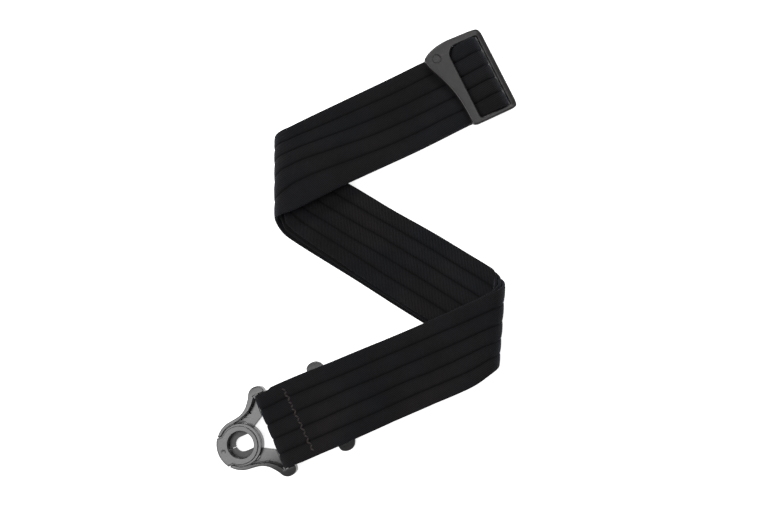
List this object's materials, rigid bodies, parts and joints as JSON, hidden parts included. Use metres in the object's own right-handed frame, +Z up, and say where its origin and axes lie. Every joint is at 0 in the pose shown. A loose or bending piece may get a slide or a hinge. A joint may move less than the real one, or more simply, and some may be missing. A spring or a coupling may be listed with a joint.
{
  "type": "guitar strap",
  "caption": "Ribbed black webbing guitar strap folded in a Z, with a locking strap-button end at each end and a tri-glide slider for its length.",
  "frame": {"origin": "centre of the underside of the folded strap, on the surface it lies on", "axes": "+Z up, first lock towards -X -Y, slider towards +X +Y"},
  "size_m": [0.1982, 0.2958, 0.0181],
  "materials": {
    "webbing": "ribbed padded webbing, matt black with a faint sheen",
    "thread": "dark brown sewing thread",
    "lock_plastic": "satin grey moulded plastic, finely sanded",
    "dark_plastic": "dark moulded plastic",
    "slider_plastic": "satin dark grey moulded plastic",
    "spring_steel": "bright drawn wire",
    "screw_steel": "zinc plated"
  },
  "bodies": {
    "strap": {"webbing": "webbing", "stitch_row_lock": "thread", "stitch_row_slider": "thread"},
    "slider": {"slider_frame": "slider_plastic"},
    "lock_a": {"lock_a_frame": "lock_plastic", "lock_a_back_plate": "dark_plastic", "lock_a_return_spring": "spring_steel", "lock_a_screw_1": "screw_steel", "lock_a_screw_2": "screw_steel", "lock_a_screw_3": "screw_steel", "lock_a_screw_4": "screw_steel"},
    "lock_a_slide": {"lock_a_release_slide": "lock_plastic"},
    "lock_a_jaw_left": {"lock_a_jaw_left": "dark_plastic"},
    "lock_a_jaw_right": {"lock_a_jaw_right": "dark_plastic"},
    "lock_b": {"lock_b_frame": "lock_plastic", "lock_b_back_plate": "dark_plastic", "lock_b_return_spring": "spring_steel", "lock_b_screw_1": "screw_steel", "lock_b_screw_2": "screw_steel", "lock_b_screw_3": "screw_steel", "lock_b_screw_4": "screw_steel"},
    "lock_b_slide": {"lock_b_release_slide": "lock_plastic"},
    "lock_b_jaw_left": {"lock_b_jaw_left": "dark_plastic"},
    "lock_b_jaw_right": {"lock_b_jaw_right": "dark_plastic"}
  },
  "joints": [
    {"name": "lock_a_swing", "type": "hinge", "parent": "strap", "child": "lock_a", "pos_m": [-0.05933, -0.11729, 0.01211], "axis": [-0.3955, 0.9184, 0], "range_deg": [-60, 95]},
    {"name": "lock_a_release", "type": "slide", "parent": "lock_a", "child": "lock_a_slide", "axis": [0.9048, 0.3897, 0.1719], "range_m": [0, 0.0027], "stiffness_N_per_m": 400, "deforming": ["lock_a_return_spring"]},
    {"name": "lock_a_jaw_left_slide", "type": "slide", "parent": "lock_a", "child": "lock_a_jaw_left", "axis": [-0.3955, 0.9184, 0], "range_m": [0, 0.0027]},
    {"name": "lock_a_jaw_right_slide", "type": "slide", "parent": "lock_a", "child": "lock_a_jaw_right", "axis": [0.3955, -0.9184, 0], "range_m": [0, 0.0027]},
    {"name": "lock_b_swing", "type": "hinge", "parent": "strap", "child": "lock_b", "pos_m": [-0.02626, -0.10305, 0.00501], "axis": [-0.3955, 0.9184, 0], "range_deg": [0, 135]},
    {"name": "lock_b_release", "type": "slide", "parent": "lock_b", "child": "lock_b_slide", "axis": [-0.9184, -0.3955, 0], "range_m": [0, 0.0027], "stiffness_N_per_m": 400, "deforming": ["lock_b_return_spring"]},
    {"name": "lock_b_jaw_left_slide", "type": "slide", "parent": "lock_b", "child": "lock_b_jaw_left", "axis": [0.3955, -0.9184, 0], "range_m": [0, 0.0027]},
    {"name": "lock_b_jaw_right_slide", "type": "slide", "parent": "lock_b", "child": "lock_b_jaw_right", "axis": [-0.3955, 0.9184, 0], "range_m": [0, 0.0027]},
    {"name": "slider_tilt", "type": "hinge", "parent": "strap", "child": "slider", "pos_m": [0.07684, 0.11667, 0.00721], "axis": [-0.4431, 0.8965, 0], "range_deg": [0, 25]}
  ],
  "couplings": [
    {"joint": "lock_a_jaw_left_slide", "follows": "lock_a_release", "ratio": 1},
    {"joint": "lock_a_jaw_right_slide", "follows": "lock_a_release", "ratio": 1},
    {"joint": "lock_b_jaw_left_slide", "follows": "lock_b_release", "ratio": 1},
    {"joint": "lock_b_jaw_right_slide", "follows": "lock_b_release", "ratio": 1}
  ]
}
